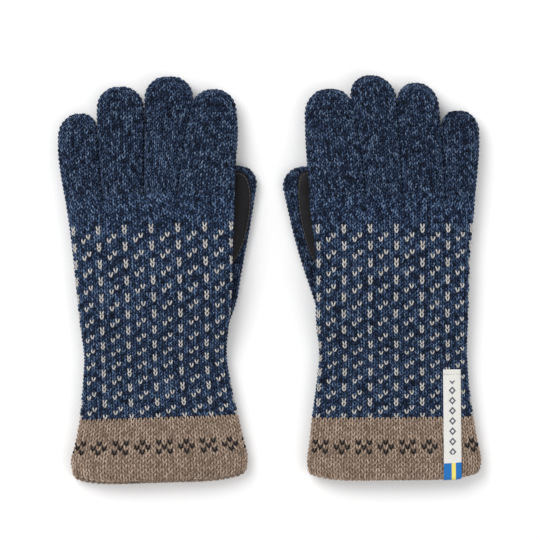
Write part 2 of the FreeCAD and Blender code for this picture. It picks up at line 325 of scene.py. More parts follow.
def seamTree():  # a row of sewn stitches along an edge line
    tree, given, result = geometryTree(
        "sewnSeam", ("Spacing", "Float", 0.0022), ("Stitch Length", "Float", 0.0016),
        ("Thread Radius", "Float", 0.00022))
    line = geo(tree, "MeshToCurve", {"Mesh": given["Geometry"]})
    even = geo(tree, "ResampleCurve", {"Curve": line, "Length": given["Spacing"]}, mode="LENGTH")
    bow = arc(tree, threadShape["steps"], *threadShape["bow"])
    long = geo(tree, "Transform", {"Geometry": bow, "Scale": alike(tree, given["Stitch Length"])})
    onPoints = geo(tree, "InstanceOnPoints", {
        "Points": even, "Instance": tubeAlong(tree, long, given["Thread Radius"], threadShape["sides"]),
        "Rotation": facing(tree, geo(tree, "InputTangent"))})
    real = geo(tree, "RealizeInstances", {"Geometry": onPoints})
    return dressed(tree, geo(tree, "SetShadeSmooth", {"Geometry": real}), given, result)


knitStitches = stitchTree()
woolFuzz = fuzzTree()
sewnSeam = seamTree()
print("node trees: stitches, fuzz and seams ready")


def mixed(tree, share, first, second, blend="MIX"):
    return addNode(tree, "ShaderNodeMix", {0: share, 6: first, 7: second}, data_type="RGBA", blend_type=blend,
                   clamp_factor=True).outputs[2]


def banded(tree, value, low, high):  # 0 to 1 as value goes from low to high
    return addNode(tree, "ShaderNodeMapRange", {"Value": value, "From Min": low, "From Max": high},
                   interpolation_type="SMOOTHSTEP").outputs["Result"]


def noise(tree, vector, scale, detail=2.0, roughness=0.5):
    return addNode(tree, "ShaderNodeTexNoise", {
        "Vector": vector, "Scale": scale, "Detail": detail, "Roughness": roughness}).outputs["Fac"]


def give(tree, result, **values):  # what a group hands out
    for name, value in values.items():
        tree.links.new(value, result[name])
    return tree


def objectPlace(tree):
    return addNode(tree, "ShaderNodeTexCoord").outputs["Object"]


def spunYarnGroup():  # two or three coloured fibres spun together, read along each leg of a stitch
    tree, given, result = makeTree("spunYarn", "ShaderNodeTree", [
        ("Dark", "Color", (0.01, 0.02, 0.04, 1)),
        ("Middle", "Color", (0.03, 0.05, 0.10, 1)),
        ("Light", "Color", (0.12, 0.17, 0.26, 1)),
        ("Motif", "Color", (0.5, 0.48, 0.44, 1)),
        ("Motif Shade", "Color", (0.25, 0.24, 0.23, 1)),
        ("Balance", "Float", 0.0),
    ], [("Color", "Color"), ("Height", "Float"), ("Roughness", "Float")])
    along, around, strand, leg, tone = (
        addNode(tree, "ShaderNodeAttribute", attribute_name=n).outputs["Fac"]
        for n in ("along", "around", "strand", "leg", "tone"))
    own = scaled(tree, leg, 0.37, strand)
    ply = scaled(tree, along, 1.5, calc(tree, "ADD", around, scaled(tree, own, 9.0)))
    twist = calc(tree, "SINE", scaled(tree, ply, 2 * math.pi))
    place = objectPlace(tree)
    streak = addNode(tree, "ShaderNodeCombineXYZ", {
        "X": scaled(tree, along, 1.5), "Y": scaled(tree, around, 2.0),
        "Z": scaled(tree, own, 61.0)}).outputs[0]
    spun = noise(tree, streak, 1.7, 2.0, 0.6)
    drift = noise(tree, place, 300.0, 2.0)
    pick = addNode(tree, "ShaderNodeTexWhiteNoise", {"W": scaled(tree, own, 173.0)},
                   noise_dimensions="1D").outputs["Value"]
    fleck = scaled(tree, twist, 0.15, scaled(tree, spun, 1.9, -0.45))
    level = calc(tree, "ADD", calc(tree, "ADD", fleck, given["Balance"]),
                 scaled(tree, drift, 0.9, scaled(tree, pick, 0.5, -0.70)))
    lower = mixed(tree, banded(tree, level, 0.22, 0.55), given["Dark"], given["Middle"])
    wool = mixed(tree, banded(tree, level, 0.55, 0.98), lower, given["Light"])
    motif = mixed(tree, banded(tree, fleck, 0.25, 0.75), given["Motif Shade"], given["Motif"])
    fibre = noise(tree, place, 2600.0, 3.0, 0.7)
    return give(tree, result, Color=mixed(tree, tone, wool, motif), Height=scaled(tree, twist, 0.35, fibre),
                Roughness=scaled(tree, fibre, 0.22, 0.76))


def leatherGrainGroup():  # fine pebbled grain with a few creases
    tree, given, result = makeTree("leatherGrain", "ShaderNodeTree", [
        ("Base", "Color", (0.003, 0.0024, 0.004, 1)),
        ("Worn", "Color", (0.014, 0.012, 0.017, 1)),
        ("Grain Scale", "Float", 1100.0),
    ], [("Color", "Color"), ("Height", "Float"), ("Roughness", "Float")])
    place = objectPlace(tree)
    cells = addNode(tree, "ShaderNodeTexVoronoi", {
        "Vector": place, "Scale": given["Grain Scale"]}, feature="F1").outputs["Distance"]
    crease = noise(tree, place, 120.0, 4.0, 0.6)
    cloud = noise(tree, place, 38.0, 2.0)
    height = scaled(tree, cells, -0.8, scaled(tree, crease, 1.1))
    worn = scaled(tree, banded(tree, crease, 0.52, 0.75), banded(tree, cloud, 0.40, 0.62))
    return give(tree, result, Color=mixed(tree, worn, given["Base"], given["Worn"]), Height=height,
                Roughness=scaled(tree, cloud, 0.28, scaled(tree, cells, 0.12, 0.34)))


def wovenRibbonGroup():  # over and under of fine threads on the piece's own map, in mm
    tree, given, result = makeTree("wovenRibbon", "ShaderNodeTree", [
        ("Thread Pitch", "Float", 0.42),
    ], [("Height", "Float"), ("Shade", "Float"), ("Roughness", "Float")])
    cloth = addNode(tree, "ShaderNodeUVMap", uv_map="cloth").outputs["UV"]
    apart = addNode(tree, "ShaderNodeSeparateXYZ", {"Vector": cloth})
    turns = calc(tree, "DIVIDE", 100.0 * 2 * math.pi, given["Thread Pitch"])
    across = calc(tree, "SINE", scaled(tree, apart.outputs["X"], turns))
    up = calc(tree, "SINE", scaled(tree, apart.outputs["Y"], turns))
    height = scaled(tree, across, up)
    fuzz = noise(tree, cloth, 160.0, 3.0, 0.7)
    # Shade is partly painted shade, darker in the dips between the crossing threads, and partly random fibre
    # tone
    return give(tree, result, Height=scaled(tree, fuzz, 0.8, height), Roughness=scaled(tree, fuzz, 0.2, 0.7),
                Shade=scaled(tree, height, 0.10, scaled(tree, fuzz, 0.25, 0.80)))


spunYarn = spunYarnGroup()
leatherGrain = leatherGrainGroup()
wovenRibbon = wovenRibbonGroup()


def material(name, sheen=0.0, specular=0.5):
    made = bpy.data.materials.new(name)
    made.use_nodes = True
    shader = made.node_tree.nodes["Principled BSDF"].inputs
    shader["Sheen Weight"].default_value = sheen
    shader["Sheen Roughness"].default_value = 0.5
    shader["Specular IOR Level"].default_value = specular
    return made, made.node_tree, shader


def wired(made, shader, colour, roughness, height, strength, distance):
    tree = made.node_tree
    bump = addNode(tree, "ShaderNodeBump", {"Height": height, "Strength": strength, "Distance": distance})
    tree.links.new(colour, shader["Base Color"])
    tree.links.new(roughness, shader["Roughness"])
    tree.links.new(bump.outputs["Normal"], shader["Normal"])
    return made


def yarnMaterial(name, colours):
    made, tree, shader = material(name, sheen=0.03, specular=0.15)
    spun = addNode(tree, "ShaderNodeGroup", colours, node_tree=spunYarn).outputs
    return wired(made, shader, spun["Color"], spun["Roughness"], spun["Height"], 0.5, 0.00012)


fingerYarn = yarnMaterial("marledWool", {
    "Dark": (0.001, 0.003, 0.009, 1), "Middle": (0.024, 0.047, 0.110, 1), "Light": (0.155, 0.225, 0.330, 1),
    "Balance": -0.04})
handYarn = yarnMaterial("marledWoolAndPale", {
    "Dark": (0.001, 0.003, 0.010, 1), "Middle": (0.027, 0.055, 0.130, 1), "Light": (0.155, 0.235, 0.360, 1),
    "Motif": (0.62, 0.60, 0.57, 1), "Motif Shade": (0.34, 0.33, 0.33, 1), "Balance": -0.02})
cuffYarn = yarnMaterial("brownMelangeWool", {
    "Dark": (0.190, 0.135, 0.098, 1), "Middle": (0.330, 0.242, 0.184, 1), "Light": (0.50, 0.39, 0.31, 1),
    "Motif": (0.022, 0.022, 0.026, 1), "Motif Shade": (0.006, 0.006, 0.008, 1), "Balance": 0.06})


def liningMaterial(name, dark, light):  # the knit's ground, seen between the stitches and inside the glove; its colours are darker than the yarn's, painted shade for the gaps between and behind the stitches
    made, tree, shader = material(name, sheen=0.1, specular=0.2)
    place = objectPlace(tree)
    mottle = noise(tree, place, 620.0, 3.0, 0.65)
    loops = addNode(tree, "ShaderNodeTexVoronoi", {"Vector": place, "Scale": 420.0},
                    feature="SMOOTH_F1").outputs["Distance"]
    return wired(made, shader, mixed(tree, banded(tree, mottle, 0.35, 0.68), dark, light),
                 scaled(tree, mottle, 0.2, 0.78), scaled(tree, mottle, 0.6, loops), 0.7, 0.0006)


# both grounds are darker than their yarns: painted shade between the stitches
blueGround = liningMaterial("blueWoolGround", (0.001, 0.002, 0.006, 1), (0.015, 0.026, 0.056, 1))
brownGround = liningMaterial("brownWoolGround", (0.100, 0.070, 0.050, 1), (0.240, 0.175, 0.130, 1))


def leatherMaterial():
    made, tree, shader = material("blackGloveLeather", specular=0.22)
    grain = addNode(tree, "ShaderNodeGroup", node_tree=leatherGrain).outputs
    return wired(made, shader, grain["Color"], grain["Roughness"], grain["Height"], 0.45, 0.00022)


def threadMaterial(name, colour):
    made, tree, shader = material(name, sheen=0.2, specular=0.4)
    ply = noise(tree, objectPlace(tree), 3200.0, 2.0)
    darker = tuple(0.45 * c for c in colour[:3]) + (1,)
    return wired(made, shader, mixed(tree, banded(tree, ply, 0.3, 0.7), darker, colour),
                 scaled(tree, ply, 0.25, 0.45), ply, 0.5, 0.00008)


def elasticMaterial():
    made, tree, shader = material("ribbedElastic", sheen=0.1)
    place = objectPlace(tree)
    ribs = addNode(tree, "ShaderNodeTexWave", {
        "Vector": place, "Scale": 190.0, "Distortion": 0.4, "Detail": 1.0},
        bands_direction="Y").outputs["Fac"]
    weave = noise(tree, place, 1500.0, 2.0)
    # the colour follows the ribs: painted shade, darker in the grooves between them and lighter on their
    # crests
    return wired(made, shader, mixed(tree, ribs, (0.006, 0.008, 0.014, 1), (0.03, 0.035, 0.05, 1)),
                 scaled(tree, weave, 0.2, 0.6), calc(tree, "ADD", ribs, weave), 0.6, 0.0003)


labelMark = {  # in mm from the label's side and from the hem
    "width": 11.4, "bandTop": 9.4, "stripe": (4.9, 7.5), "diamonds": (14.5, 60.5), "pitch": 6.4,
    "halfWidth": 2.3, "halfHeight": 2.6, "open": 0.45,
}


def between(tree, value, limits):  # 1 inside the limits, 0 outside
    low, high = limits
    return scaled(tree, calc(tree, "GREATER_THAN", value, low), calc(tree, "LESS_THAN", value, high))


def labelMaterial():  # plain ground, a column of small woven diamonds and a band with one stripe
    made, tree, shader = material("wovenLabel", sheen=0.1, specular=0.3)
    mark = labelMark
    weave = addNode(tree, "ShaderNodeGroup", node_tree=wovenRibbon).outputs
    cloth = addNode(tree, "ShaderNodeUVMap", uv_map="cloth").outputs["UV"]
    apart = addNode(tree, "ShaderNodeSeparateXYZ", {"Vector": cloth}).outputs
    x, y = scaled(tree, apart["X"], 100.0), scaled(tree, apart["Y"], 100.0)
    cell = calc(tree, "FRACT", calc(tree, "DIVIDE", y, mark["pitch"]))
    upAndDown = calc(tree, "ABSOLUTE", calc(tree, "SUBTRACT", cell, 0.5))
    sideways = calc(tree, "ABSOLUTE", calc(tree, "SUBTRACT", x, mark["width"] / 2))
    reach = scaled(tree, upAndDown, mark["pitch"] / mark["halfHeight"],
                   calc(tree, "DIVIDE", sideways, mark["halfWidth"]))
    motif = scaled(tree, between(tree, reach, (mark["open"], 1.0)), between(tree, y, mark["diamonds"]))
    ground = mixed(tree, motif, (0.80, 0.79, 0.75, 1), (0.11, 0.12, 0.15, 1))
    band = mixed(tree, between(tree, x, mark["stripe"]), (0.012, 0.17, 0.52, 1), (0.90, 0.76, 0.17, 1))
    colour = mixed(tree, calc(tree, "LESS_THAN", y, mark["bandTop"]), ground, band)
    # multiplied by the weave's Shade: painted shade in the dips between threads, with random fibre tone
    return wired(made, shader, mixed(tree, 1.0, colour, weave["Shade"], "MULTIPLY"), weave["Roughness"],
                 weave["Height"], 0.5, 0.00010)


blackLeather = leatherMaterial()
darkThread = threadMaterial("seamThread", (0.10, 0.085, 0.075, 1))
paleThread = threadMaterial("labelThread", (0.62, 0.61, 0.58, 1))
elasticBand = elasticMaterial()
labelCloth = labelMaterial()
print("finishes: wool, leather, thread, elastic and label ready")


handShape = {
    "power": 2.6,
    "edges": {  # v, the edge on the little finger's side, the edge on the thumb's side
        "left": [(0, -54.6, 54.6), (8.8, -55.8, 55.7), (22.7, -52.6, 53.3), (36.5, -49.7, 50.7),
                 (54.2, -47.4, 47.3), (78, -45.3, 44.6), (98, -47.3, 47.5), (117, -48.5, 49.3),
                 (142, -50.2, 50.7), (168, -52.7, 52.6), (180, -54.2, 53.2)],
        "right": [(0, -54.0, 53.8), (8.8, -55.1, 54.6), (22.7, -52.7, 53.0), (36.5, -50.7, 51.5),
                  (54.2, -48.3, 49.0), (78, -46.8, 46.6), (98, -47.7, 48.3), (117, -48.4, 48.5),
                  (142, -49.4, 48.5), (168, -52.0, 51.2), (180, -53.0, 52.0)],
    },
    "section": [  # v, half thickness, height of the middle, sideways slope
        (0, 8.0, 7.9, 0.0), (36, 8.0, 7.9, 0.0), (54, 7.8, 8.2, 0.0), (78, 7.4, 9.0, 0.010),
        (98, 8.0, 11.5, 0.050), (117, 8.4, 14.3, 0.095), (142, 8.5, 15.0, 0.110), (166, 8.5, 15.0, 0.108),
        (180, 8.5, 14.9, 0.105)],
    "valleys": {"left": (-30.4, -4.3, 16.8), "right": (-33.8, -6.9, 16.4)},
    "valleyWidth": 3.4,
    "valleyDepth": 0.80,
    "pinch": (-0.5, 77, 4.5),  # depth, v and width of the narrow wrist
    "wave": 0.35,
    "fromFingers": 178.6,
    "plainFrom": 150,
    "wall": 2.3,
    "wales": 65,
    "spreadAt": 165.0,  # where the wales are evenly spread
    "courses": ([36.5, 70, 76, 82, 88, 100, 112], [2.42, 2.35, 2.0, 2.1, 2.35, 2.5, 2.68]),  # v and height
    "plainCourses": 7,
    "firstPaleRow": 157.8,
    "cuffTop": 36.5,
}
knit = {"yarnSink": 0.55, "groundSink": 1.1, "handGroundSink": 1.15, "fewestWales": 6, "narrowest": 1.7}


def handRing(glove, v, grow=0.0, count=240):
    outer, inner = through(handShape["edges"][glove], v)
    halfThick, middle, slope = through(handShape["section"], v)
    centre, halfWidth = (outer + inner) / 2, (inner - outer) / 2
    u, rise = oval(count, halfWidth + grow, halfThick + grow, handShape["power"])
    u = u + centre
    depth = handShape["valleyDepth"] * ramp(v, 158, 180)
    for at in handShape["valleys"][glove]:
        rise = rise * (1 - depth * np.exp(-((u - at) / handShape["valleyWidth"]) ** 2))
    wave = np.sin(u * 0.11 + v * 0.05) * np.sin(v * 0.09 + gloves[glove]["seed"])
    soft = handShape["wave"] * wave * ramp(v, 40, 70)
    pinch, narrowAt, width = handShape["pinch"]
    rise = rise + np.sign(rise) * pinch * np.exp(-((v - narrowAt) / width) ** 2)
    return np.stack([u, np.full(count, float(v)), middle + slope * u + rise + soft], -1)


def handHalf(glove, u, v):  # the middle height and the half thickness of the hand over any u and v
    outer, inner = np.moveaxis(through(handShape["edges"][glove], v), -1, 0)
    halfThick, middle, slope = np.moveaxis(through(handShape["section"], v), -1, 0)
    share = np.clip(np.abs(u - (outer + inner) / 2) / ((inner - outer) / 2), 0, 1)
    return middle + slope * u, halfThick * (1 - share ** handShape["power"]) ** (1 / handShape["power"])


def chart(ringAt, rows, most, phase=0.0, toneOf=None, keep=None, towards=1, spacing=None):
    # where every stitch sits; spacing(girth) widens the wales on the upper side where the tube narrows
    found = []
    for r, (at, height) in enumerate(rows):
        ring = ringAt(at)
        wales = most
        while girthOf(ring) / wales < knit["narrowest"] and wales > knit["fewestWales"]:  # towards a tip
            wales = wales // 2
        shares = (np.arange(wales) + 0.5 + phase) / wales
        if spacing:
            k = spacing(girthOf(ring))
            off = np.mod(shares, 1.0) - 0.5
            shares = 0.5 + np.sign(off) * np.where(np.abs(off) < 0.25, np.abs(off) * k,
                                                   0.25 * k + (np.abs(off) - 0.25) * (2 - k))
        here, girth = spread(ring, shares)
        before, after = (spread(ringAt(at + d), shares)[0] for d in (-0.6 * towards, 0.6 * towards))
        ahead = spread(ring, shares + 0.004)[0] - spread(ring, shares - 0.004)[0]
        up = unit(after - before)
        out = unit(np.cross(up, unit(ahead)))
        width = girth / wales
        tone = np.array([toneOf(r, w) if toneOf else 0.0 for w in range(wales)])
        cell = np.tile([width, height, min(width, 3.4)], (wales, 1))
        chosen = np.ones(wales, bool) if keep is None else keep(here, out)
        found.append([value[chosen] for value in (here, out, up, cell, tone)])
    return [np.concatenate(column) for column in zip(*found)]


stitchSettings = {"Yarn Radius": 0.33, "Leg Sides": 5}


def stitched(name, glove, charted, yarn, seed):  # the chart knitted up as a mesh
    places, outward, upward, cells, tones = charted
    mesh = placedMesh(name, glove, places)
    storeVectors(mesh, "outward", turned(glove, outward))
    storeVectors(mesh, "upward", turned(glove, upward))
    storeVectors(mesh, "cell", cells * 0.001)
    mesh.attributes.new("tone", "FLOAT", "POINT").data.foreach_set("value", tones.astype(np.float32))
    obj = newObject(name, mesh)
    runTree(obj, knitStitches, {**stitchSettings, "Seed": seed, "Material": yarn})
    return baked(obj, name)


fuzzSettings = {"Density": 90000.0, "Length": 0.0021, "Radius": 0.000035}


def fuzzed(name, glove, rings, yarn, seed):  # loose fibres over the outside
    skin = ringMesh(name, glove, rings)
    runTree(skin, woolFuzz, {**fuzzSettings, "Seed": seed, "Material": yarn})
    return baked(skin, name)


def doubleWall(name, glove, outer, inner, finish, cap=False):  # outside and inside as one closed wall
    if cap:
        shell = ringMesh(name, glove, list(reversed(inner)) + list(outer), poles=("start", "end"))
    else:
        shell = ringMesh(name, glove, list(outer) + list(reversed(inner)), joined=True)
    shell.data.materials.append(finish)
    return shell


def handRows():  # the heights of the courses, from the fingers down to the cuff
    rows, v = [], handShape["firstPaleRow"] + handShape["plainCourses"] * handShape["courses"][1][-1]
    while v > handShape["cuffTop"] + 0.4:
        height = float(np.interp(v, *handShape["courses"]))
        rows.append((v, height))
        v -= height
    return rows


def paleStitch(glove, rows):  # two rows of bars, then two stepped rows, every five wales
    first = next(i for i, (v, _) in enumerate(rows) if v <= handShape["firstPaleRow"] + 0.1)
    step = -1 if gloves[glove]["side"] > 0 else 1

    def tone(row, wale):
        k = row - first
        if k < 0:
            return 0.0
        return 1.0 if (step * (wale - 32)) % 5 == (0, 0, 3, 2)[k % 4] else 0.0
    return tone


palmPatch = {"centre": (-9.5, 124.0), "half": (29.5, 44.0), "corner": 4.0, "thick": 1.0, "lift": 0.35}


def underPatch(u, v, patch, margin):  # inside a leather patch, so that no knit shows there
    x = np.abs(u - patch["centre"][0]) / (patch["half"][0] - margin)
    y = np.abs(v - patch["centre"][1]) / (patch["half"][1] - margin)
    return x ** patch["corner"] + y ** patch["corner"] < 1


def makeHand(glove):
    seed = gloves[glove]["seed"]
    rows = handRows()
    plain, low, high = handShape["plainFrom"], handShape["cuffTop"] + 0.1, handShape["fromFingers"]
    levels = list(np.linspace(low, plain, 58)) + list(np.linspace(plain + 2, high, 16))
    outer = [handRing(glove, v, -knit["handGroundSink"], 160) for v in levels]
    inner = [handRing(glove, v, -handShape["wall"] - 0.5, 160) for v in levels]
    shell = doubleWall(glove + "_handGround", glove, outer, inner, blueGround)
    full = girthOf(handRing(glove, handShape["spreadAt"], -knit["yarnSink"]))
    tone = paleStitch(glove, rows)

    def ringAt(v):
        return handRing(glove, v, -knit["yarnSink"])

    def spacing(girth):
        return 0.25 + 0.75 * full / girth

    def onTop(here, out):
        return out[:, 2] > 0.0

    def below(here, out):
        return (out[:, 2] <= 0.0) & ~underPatch(here[:, 0], here[:, 1], palmPatch, 1.2)

    sides = []
    for name, keep in (("_handBackStitches", onTop), ("_handPalmStitches", below)):
        charted = chart(ringAt, rows, handShape["wales"], gloves[glove]["handPhase"], tone, keep, 1, spacing)
        sides.append(stitched(glove + name, glove, charted, handYarn, seed + len(sides)))
    skin = [handRing(glove, v, 0.0, 120) for v in np.linspace(38, 177, 40)]
    fuzz = fuzzed(glove + "_handFuzz", glove, skin, handYarn, seed + 2)
    shell = joinedInto(glove + "_handGround", [shell, fuzz])
    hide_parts(glove + "_hand")
    for piece in (shell, *sides):
        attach(piece, glove + "_glove")
    print(glove, "hand:", faceCount(shell, *sides), "faces")


cuffShape = {
    "wales": 64, "rowHeight": 2.8, "rowsAboveMotif": 5, "firstMotifRow": 22.4, "roll": 1.6,
    "insideDepth": 24.0, "middle": -1.8, "corner": 5.4, "halfWidth": 55.0, "height": 7.9, "shiftedUpTo": 34.0,
    "cross": {5: (-1, 1), 6: (0,), 7: (-1, 1)}, "diamond": {5: (0,), 6: (-1, 1), 7: (0,)},  # row: wales
}
cuffShape["hemAt"] = handShape["cuffTop"] - cuffShape["roll"]
cuffShape["length"] = cuffShape["hemAt"] + math.pi * cuffShape["roll"] + cuffShape["insideDepth"]


def hemShift(glove, ring, v):  # the hem is longer in the middle and rounded at its corners
    share = np.abs(ring[:, 0]) / cuffShape["halfWidth"]
    shift = cuffShape["middle"] + cuffShape["corner"] * share ** 5
    shift = shift - gloves[glove]["backHem"] * ramp(cuffShape["height"] - ring[:, 2], -1.0, 3.0)
    return shift * np.clip(1 - v / cuffShape["shiftedUpTo"], 0, 1) ** 2


def cuffRing(glove, t, grow=0.0, count=240):  # t runs from the hand down to the hem, round it and up inside
    length, r = cuffShape["hemAt"], cuffShape["roll"]
    if t <= length:
        v, out = handShape["cuffTop"] - t, grow
    elif t <= length + math.pi * r:
        a = (t - length) / r
        v, out = r - (r + grow) * math.sin(a), (r + grow) * math.cos(a) - r
    else:
        v, out = r + (t - length - math.pi * r), -2 * r - grow
    ring = handRing(glove, max(v, 0), out, count)
    ring[:, 1] = v + hemShift(glove, ring, max(v, 0))
    return ring


def makeCuff(glove):
    g, shape = gloves[glove], cuffShape
    height, length = shape["rowHeight"], shape["length"]
    start = handShape["cuffTop"] - shape["firstMotifRow"] - shape["rowsAboveMotif"] * height
    rows = [(start + height * k, height) for k in range(int((length - start) / height))]

    def tone(row, wale):  # crosses and diamonds in turn, four wales apart
        fromCross = (wale - g["firstCross"] + 4) % 8 - 4
        fromDiamond = (wale - g["firstCross"]) % 8 - 4
        return float(fromCross in shape["cross"].get(row, ()) or fromDiamond in shape["diamond"].get(row, ()))

    def ringAt(t):
        return cuffRing(glove, t, -knit["yarnSink"])

    charted = chart(ringAt, rows, shape["wales"], g["cuffPhase"], tone, towards=-1)
    stitches = stitched(glove + "_cuffStitches", glove, charted, cuffYarn, g["seed"] + 3)
    outer = [cuffRing(glove, t, -knit["groundSink"], 160) for t in np.linspace(length, 0, 46)]
    inner = [handRing(glove, handShape["cuffTop"], -2.0, 160)]
    shell = doubleWall(glove + "_cuffGround", glove, outer, inner, brownGround)
    skin = [cuffRing(glove, t, 0.0, 120) for t in np.linspace(38, 0, 16)]
    fuzz = fuzzed(glove + "_cuffFuzz", glove, skin, cuffYarn, g["seed"] + 4)
    shell = joinedInto(glove + "_cuffGround", [shell, fuzz])
    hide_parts(glove + "_cuff")
    for piece in (shell, stitches):
        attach(piece, glove + "_glove")
    print(glove, "cuff:", faceCount(shell, stitches), "faces")


fingerShape = {
    "power": 2.2,
    "wall": 2.1,
    "rowHeight": 2.72,
    "waleWidth": 3.3,
    "rows": {  # v, the edge on the little finger's side and on the thumb's side; a dome follows the last row
        "left": {
            "little": [(177, -53.9, -30.6), (190, -55.8, -31.2), (207, -57.3, -31.9), (218, -57.0, -32.4)],
            "ring": [(177, -30.2, -4.4), (200, -31.3, -3.5), (220, -32.3, -2.7), (233, -32.0, -2.4)],
            "middle": [(177, -4.2, 16.5), (200, -3.2, 20.8), (217, -2.5, 23.4), (238, -1.8, 28.9)],
            "index": [(177, 16.9, 53.0), (195, 19.6, 54.3), (217, 23.7, 56.3), (228, 26.5, 56.0)],
        },
        "right": {
            "little": [(177, -52.8, -33.9), (190, -54.2, -33.0), (207, -55.5, -32.2), (218, -55.6, -31.6)],
            "ring": [(177, -33.7, -7.0), (200, -32.5, -5.8), (220, -31.4, -4.8), (234, -30.4, -4.0)],
            "middle": [(177, -6.8, 16.3), (200, -5.7, 18.8), (217, -4.8, 21.0), (238, -3.8, 25.2)],
            "index": [(177, 16.5, 51.2), (195, 18.3, 52.8), (207, 19.4, 53.6), (217, 20.8, 54.0),
                      (229, 23.0, 54.2)],
        },
    },
    "tips": {  # across, v and height of the tip
        "left": {"little": (-42.8, 230.6, 8.7), "ring": (-17.3, 246.7, 9.6), "middle": (13.7, 252.3, 9.8),
                 "index": (41.5, 243.2, 10.3)},
        "right": {"little": (-42.5, 230.8, 8.7), "ring": (-15.6, 248.4, 9.6), "middle": (12.7, 253.4, 9.8),
                  "index": (38.3, 245.1, 10.3)},
    },
    "halfThick": {"little": 7.2, "ring": 7.9, "middle": 7.9, "index": 8.6},
    "rootHeight": 14.9,
    "lean": 0.105,  # the row of fingers rises towards the thumb
    "starts": 176.6,
}

thumbShape = {
    "power": 2.2,
    "wall": 1.9,
    "root": {"left": (39.3, 110.0), "right": (35.2, 110.0)},
    "tip": {"left": (58.0, 194.3), "right": (58.8, 195.8)},
    "rows": {  # distance past the root, sideways shift, height, half width, half thickness
        "left": [(-27, -3.4, 10.4, 9.0, 3.6), (-12, -0.9, 8.0, 11.2, 4.6), (2, 0.3, 6.0, 12.3, 5.1),
                 (17, 0, 5.2, 12.3, 5.1), (45, 0, 5.1, 12.3, 5.1), (74.6, 0, 5.1, 11.7, 5.0)],
        "right": [(-27, -3.4, 10.4, 9.2, 3.6), (-12, -0.9, 8.0, 11.4, 4.6), (2, 0.2, 6.0, 12.4, 5.1),
                  (17, 0.3, 5.2, 13.2, 5.1), (42, 0.4, 5.1, 13.8, 5.1), (76.5, 0, 5.1, 12.7, 5.0)],
    },
    "rowHeight": 2.72,
    "waleWidth": 3.25,
}


def thumbAxis(glove):
    root, tip = (np.array(thumbShape[k][glove]) for k in ("root", "tip"))
    along = (tip - root) / np.linalg.norm(tip - root)
    return root, along, np.array([along[1], -along[0]]), np.linalg.norm(tip - root)


dome = {"stretch": 1.35, "rise": 0.95, "narrowing": 0.90, "power": 2.1}


def domed(rows, t, length):  # the row at t, its place, its scale and how far it has gone over the round end
    last = rows[-1][0]
    depth = length - last
    if t <= last:
        return through(rows, t), t, 1.0, 0.0
    a = min((t - last) / (dome["stretch"] * depth), 1.0) * math.pi / 2
    place = last + depth * math.sin(a) ** dome["rise"]
    return through(rows, last), place, max(math.cos(a), 1e-3) ** dome["narrowing"], math.sin(a)


def patchScale(share):  # how a patch narrows over the round end
    return (1 - min(share, 0.999) ** dome["power"]) ** (1 / dome["power"])


def fingerLevel(centre, v, tipZ):  # height of a finger's middle line, and its sideways slope
    share = ramp(v, 176, 225)
    level = (fingerShape["rootHeight"] + fingerShape["lean"] * centre) * (1 - share) + tipZ * share
    return level, fingerShape["lean"] * (1 - ramp(v, 177, 203))


def fingerRing(glove, finger, t, grow=0.0, count=72):
    shape = fingerShape
    rows = shape["rows"][glove][finger]
    tipU, tipV, tipZ = shape["tips"][glove][finger]
    (outer, inner), v, scale, gone = domed(rows, t, tipV + grow)
    centre = (outer + inner) / 2
    centre = centre + (tipU - centre) * gone
    level, slope = fingerLevel(centre, v, tipZ)
    halfWidth, halfThick = (inner - outer) / 2 + grow, shape["halfThick"][finger] + grow
    u, rise = oval(count, halfWidth * scale, halfThick * scale, shape["power"])
    wave = 0.25 * math.sin(v * 0.17 + gloves[glove]["seed"] + len(finger))
    return np.stack([centre + u, np.full(count, v), level + slope * u + rise + wave * scale], -1)


def thumbRing(glove, t, grow=0.0, count=72):
    root, along, across, length = thumbAxis(glove)
    rows = thumbShape["rows"][glove]
    (shift, level, halfWidth, halfThick), s, scale, _ = domed(rows, t, length + grow)
    x, rise = oval(count, (halfWidth + grow) * scale, (halfThick + grow) * scale, thumbShape["power"])
    flat = root + along * s + across * (shift + x)[:, None]
    return np.concatenate([flat, (level + rise)[:, None]], 1)


patchShape = {
    "profile": [(0.08, 1.0), (0.25, 1.0), (0.45, 1.0), (0.62, 1.0), (0.76, 1.0), (0.86, 0.98), (0.90, 0.90),
                (0.93, 0.72), (0.96, 0.86), (0.985, 0.80), (0.997, 0.55), (1.0, 0.20)],  # way out, thickness
    "seamAt": 0.935, "seamHeight": 0.62, "sunk": 0.2, "underside": 0.7,
}
seamSettings = {"Spacing": 0.0026, "Stitch Length": 0.0019, "Thread Radius": 0.00024}


def sewnPatch(name, glove, surface, facing, corner=4.5, thick=1.0, lift=0.3, around=96):
    # leather over surface(a, b) with a and b from -1 to 1, and the stitches along its edge
    turn = np.arange(around) / around * 2 * math.pi * facing

    def at(r, h=0.01):
        a, b = (r * np.sign(f(turn)) * np.abs(f(turn)) ** (2 / corner) for f in (np.cos, np.sin))
        normal = unit(np.cross(surface(a + h, b) - surface(a - h, b), surface(a, b + h) - surface(a, b - h)))
        return surface(a, b), normal * np.sign(normal[..., 2:3] * facing + 1e-9)

    top, under = [], []
    for r, rise in patchShape["profile"]:
        here, normal = at(r)
        top.append(here + normal * (lift + thick * (rise - patchShape["sunk"])))
        under.append(here - normal * patchShape["underside"])
    patch = ringMesh(name, glove, top + list(reversed(under)), poles=("start", "end"))
    patch.data.materials.append(blackLeather)
    here, normal = at(patchShape["seamAt"])
    line = here + normal * (lift + thick * patchShape["seamHeight"])
    return patch, seam(name + "Stitches", glove, line, normal, True, darkThread, seamSettings)


